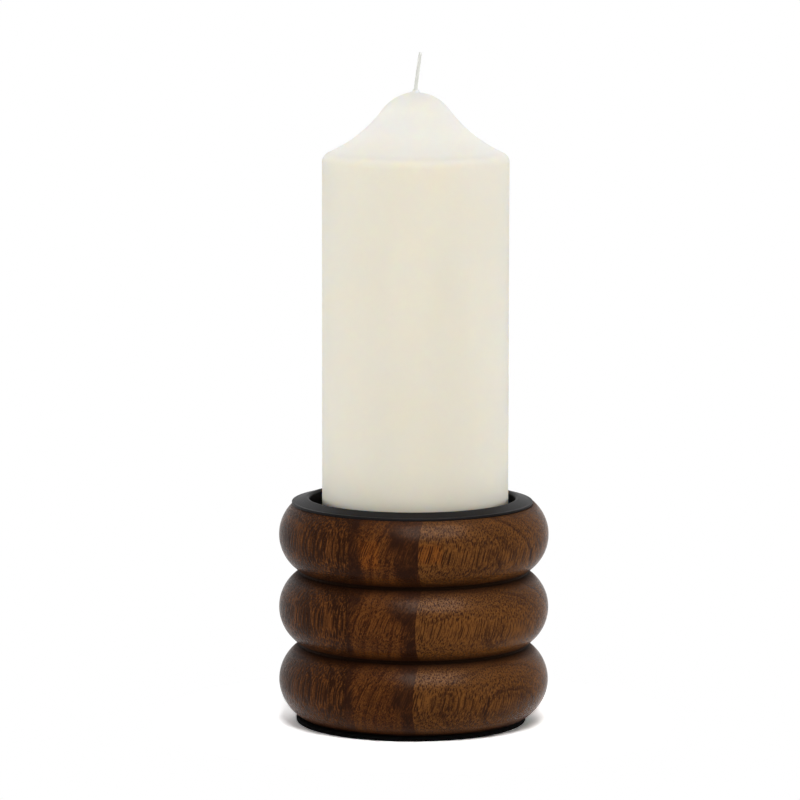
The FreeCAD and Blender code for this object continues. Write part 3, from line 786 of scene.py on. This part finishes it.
def make_wick_mesh():
    """A dense braid over a core, drawn in a little towards a frayed cut end."""
    rng = random.Random(11)
    centre_x = (candle_high.x + candle_low.x) / 2
    start = wick_low.z
    length = wick_high.z - wick_low.z
    waxed = length - STANDING_WICK
    bm = bmesh.new()

    def add_tube(end, path, tube_wide, tube_deep, sides):
        """A closed tube from the base up, along a path of (side, back) over the wick's middle line."""
        hidden = round(waxed / HIDDEN_STEP)
        seen = round((end - waxed) / SEEN_STEP)
        heights = [waxed * i / hidden for i in range(hidden)]
        heights += [waxed + (end - waxed) * i / seen for i in range(seen + 1)]
        rings = []
        for height in heights:
            risen = max(0.0, (height - waxed) / STANDING_WICK)
            share = 1 - (1 - TIP_SHARE) * risen
            side, back = path(height, share, risen)
            middle = wick_line(height)
            rings.append(
                [
                    bm.verts.new(
                        (
                            centre_x + middle.x + side + share * tube_wide * math.cos(FULL_TURN * k / sides),
                            middle.y + back + share * tube_deep * math.sin(FULL_TURN * k / sides),
                            start + middle.z,
                        )
                    )
                    for k in range(sides)
                ]
            )
        for lower, upper in zip(rings, rings[1:]):
            for k in range(sides):
                n = (k + 1) % sides
                bm.faces.new((lower[k], lower[n], upper[n], upper[k]))
        bm.faces.new(list(reversed(rings[0])))
        bm.faces.new(rings[-1])

    def braid_path(way, number):
        def path(height, share, risen):
            first = FULL_TURN * (number + (0 if way > 0 else 0.5)) / YARNS_EACH_WAY
            angle = way * FULL_TURN * height / BRAID_LAY + first
            over = BRAID_WEAVE * way * math.cos(YARNS_EACH_WAY * angle)
            wild = noise.noise(Vector((number * 5.0, way * 3.0, 0.5)))
            loose = WICK_FRAY * max(0.0, risen - FRAY_START) / (1 - FRAY_START) * wild
            return (
                share * (BRAID_WIDE + over) * math.cos(angle) + loose,
                share * (BRAID_DEEP + over) * math.sin(angle),
            )
        return path

    cuts = list(YARN_CUTS)
    rng.shuffle(cuts)
    for number, cut in enumerate(cuts):
        way = 1 if number < YARNS_EACH_WAY else -1
        yarn_path = braid_path(way, number % YARNS_EACH_WAY)
        add_tube(length - cut, yarn_path, YARN_RADIUS, YARN_RADIUS, YARN_SIDES)
    add_tube(length - CORE_CUT, lambda height, share, risen: (0.0, 0.0), CORE_WIDE, CORE_DEEP, CORE_SIDES)
    bmesh.ops.recalc_face_normals(bm, faces=bm.faces)
    return to_object(bm, "braided_wick", math.radians(70))


# ---------------------------------------------------------------- assembly

light_left = walnut(
    "walnut_left", (colour(100, 59, 27), colour(73, 42, 19), colour(36, 19, 9), colour(32, 19, 12)),
    math.radians(5), 2.0, None, figure_left, faint_stain,
)
dark_middle = walnut(
    "walnut_middle", (colour(97, 57, 25), colour(76, 42, 18), colour(51, 25, 11), colour(38, 19, 12)),
    math.radians(22), 1.0, WARM_MIDDLE, figure_middle, heart_stain,
)
light_right = walnut(
    "walnut_right", (colour(110, 69, 32), colour(92, 57, 27), colour(64, 37, 18), colour(36, 21, 13)),
    math.radians(14), 1.2, WARM_RIGHT, figure_right, faint_stain,
)

stand_for(make_board("turned_board_left", [(SEAM_LEFT, True)]), "board_left", "base", light_left)
stand_for(
    make_board("turned_board_middle", [(SEAM_LEFT, False), (SEAM_RIGHT, True)]),
    "board_middle", "base", dark_middle,
)
stand_for(make_board("turned_board_right", [(SEAM_RIGHT, False)]), "board_right", "base", light_right)
stand_for(make_pad(), "foot_pad", "base", make_felt())
stand_for(make_cup(), "cup", "cup", make_powder_coat())
stand_for(make_candle_mesh(), "candle", "candle", make_wax())
stand_for(make_wick_mesh(), "wick", "candle", make_cotton())

# ---------------------------------------------------------------- studio

# The floor: half its width, its shade to the object and to the camera, and where it runs into the backdrop
FLOOR_HALF = 12.0
FLOOR_SHADE = 1.15
FLOOR_SHADE_SEEN = 2.3
SWEEP_START, SWEEP_END = 0.046, 0.1

# The tent's strength behind the object, low down, and all round
TENT_BACK = 0.75
TENT_ROUND = 0.08

# Soft lamps: place, target, width, height, power in watts, and the part of a surface that they light
SOFTBOXES = {
    "front_softbox": ((0.07, -0.66, 1.02), (0, 0, 0.08), 0.42, 0.42, 7.0, "matt"),
    "sheen_softbox": ((0.26, -0.66, 1.02), (0, 0, 0.08), 0.95, 0.75, 52.0, "gloss"),
    "left_fill": ((-2.05, -0.85, 0.35), (0, 0, 0.12), 0.7, 0.7, 18.6, "matt"),
    "right_fill": ((2.05, -0.85, 0.35), (0, 0, 0.12), 0.7, 0.7, 16.0, "matt"),
    "back_fill": ((0.0, 2.2, 1.4), (0, 0, 0.1), 1.5, 1.5, 18.0, "matt"),
}

# The photograph's camera, fitted to its outlines: lengths of the picture in pixels, angles in radians
FOCAL_LENGTH = 4778.25
PICTURE_WIDTH = 800
SENSOR_WIDTH = 36.0
CAMERA_PLACE = Vector((-5.283, -1775.2, 352.6)) * MM
CAMERA_DIP = 0.129421
CAMERA_ROLL = 0.0016089


def make_floor():
    """A wide white floor that the camera sees white and that keeps the object's shadow."""
    bm = bmesh.new()
    corners = [bm.verts.new((x * FLOOR_HALF, y * FLOOR_HALF, 0)) for x, y in ((-1, -1), (1, -1), (1, 1), (-1, 1))]
    bm.faces.new(corners)
    floor = to_object(bm, "studio_floor")
    material = bpy.data.materials.new("floor_white")
    n = Nodes(material)
    seen = n.seen_directly()
    diffuse = n.tree.nodes.new("ShaderNodeBsdfDiffuse")
    n.feed(diffuse.inputs["Color"], n.remap(seen, 0.0, 1.0, FLOOR_SHADE, FLOOR_SHADE_SEEN))

    # Away from the object the floor runs into the white backdrop
    x, y, _ = n.split(n.coordinates("Object"))
    sweep = n.remap(n.from_axis(x, y), SWEEP_START, SWEEP_END)
    glow = n.tree.nodes.new("ShaderNodeEmission")
    total = n.tree.nodes.new("ShaderNodeMixShader")
    for socket, value in zip(total.inputs, (n.times(sweep, seen), diffuse.outputs[0], glow.outputs[0])):
        n.feed(socket, value)
    output = n.tree.nodes.new("ShaderNodeOutputMaterial")
    n.feed(output.inputs["Surface"], total.outputs[0])
    floor.data.materials.append(material)


def make_world():
    """A white backdrop behind and beside the object, and a darker room on the camera's side."""
    world = bpy.data.worlds.new("white_tent")
    bpy.context.scene.world = world
    n = Nodes(world)
    _, y, z = n.split(n.coordinates("Generated"))
    behind = n.remap(y, 0.15, 0.8)
    low = n.remap(z, 0.4, 0.85, 1.0, 0.15)
    tent = n.add(n.times(n.times(behind, low), TENT_BACK), TENT_ROUND)
    background = n.tree.nodes.new("ShaderNodeBackground")
    n.feed(background.inputs["Color"], (1, 1, 1, 1))
    n.feed(background.inputs["Strength"], n.math("MAXIMUM", tent, n.seen_directly()))
    output = n.tree.nodes.new("ShaderNodeOutputWorld")
    n.feed(output.inputs["Surface"], background.outputs[0])


def make_softbox(name, place, target, width, height, power, part):
    """A soft lamp that faces its target and lights only the matt or only the glossy part of a surface."""
    lamp = bpy.data.lights.new(name, "AREA")
    lamp.shape = "RECTANGLE"
    lamp.size = width
    lamp.size_y = height
    lamp.energy = power
    holder = bpy.data.objects.new(name, lamp)
    bpy.context.scene.collection.objects.link(holder)
    holder.location = place
    holder.rotation_euler = (Vector(target) - Vector(place)).to_track_quat("-Z", "Y").to_euler()
    holder.visible_glossy = part == "gloss"
    holder.visible_diffuse = part == "matt"


def make_camera():
    """The photograph's view: a long lens, a little above, looking along +Y."""
    camera = bpy.data.cameras.new("photo_camera")
    camera.sensor_fit = "HORIZONTAL"
    camera.sensor_width = SENSOR_WIDTH
    camera.lens = SENSOR_WIDTH * FOCAL_LENGTH / PICTURE_WIDTH
    camera.clip_start = 0.01
    camera.clip_end = 50.0
    holder = bpy.data.objects.new("photo_camera", camera)
    bpy.context.scene.collection.objects.link(holder)
    holder.location = CAMERA_PLACE
    pitch = Euler((QUARTER_TURN - CAMERA_DIP, 0, 0)).to_matrix()
    roll = Matrix.Rotation(CAMERA_ROLL, 3, "Z")
    holder.rotation_euler = (pitch @ roll).to_euler()
    bpy.context.scene.camera = holder


make_floor()
make_world()
for softbox_name, softbox in SOFTBOXES.items():
    make_softbox(softbox_name, *softbox)
make_camera()
bpy.context.scene.view_settings.view_transform = "Standard"
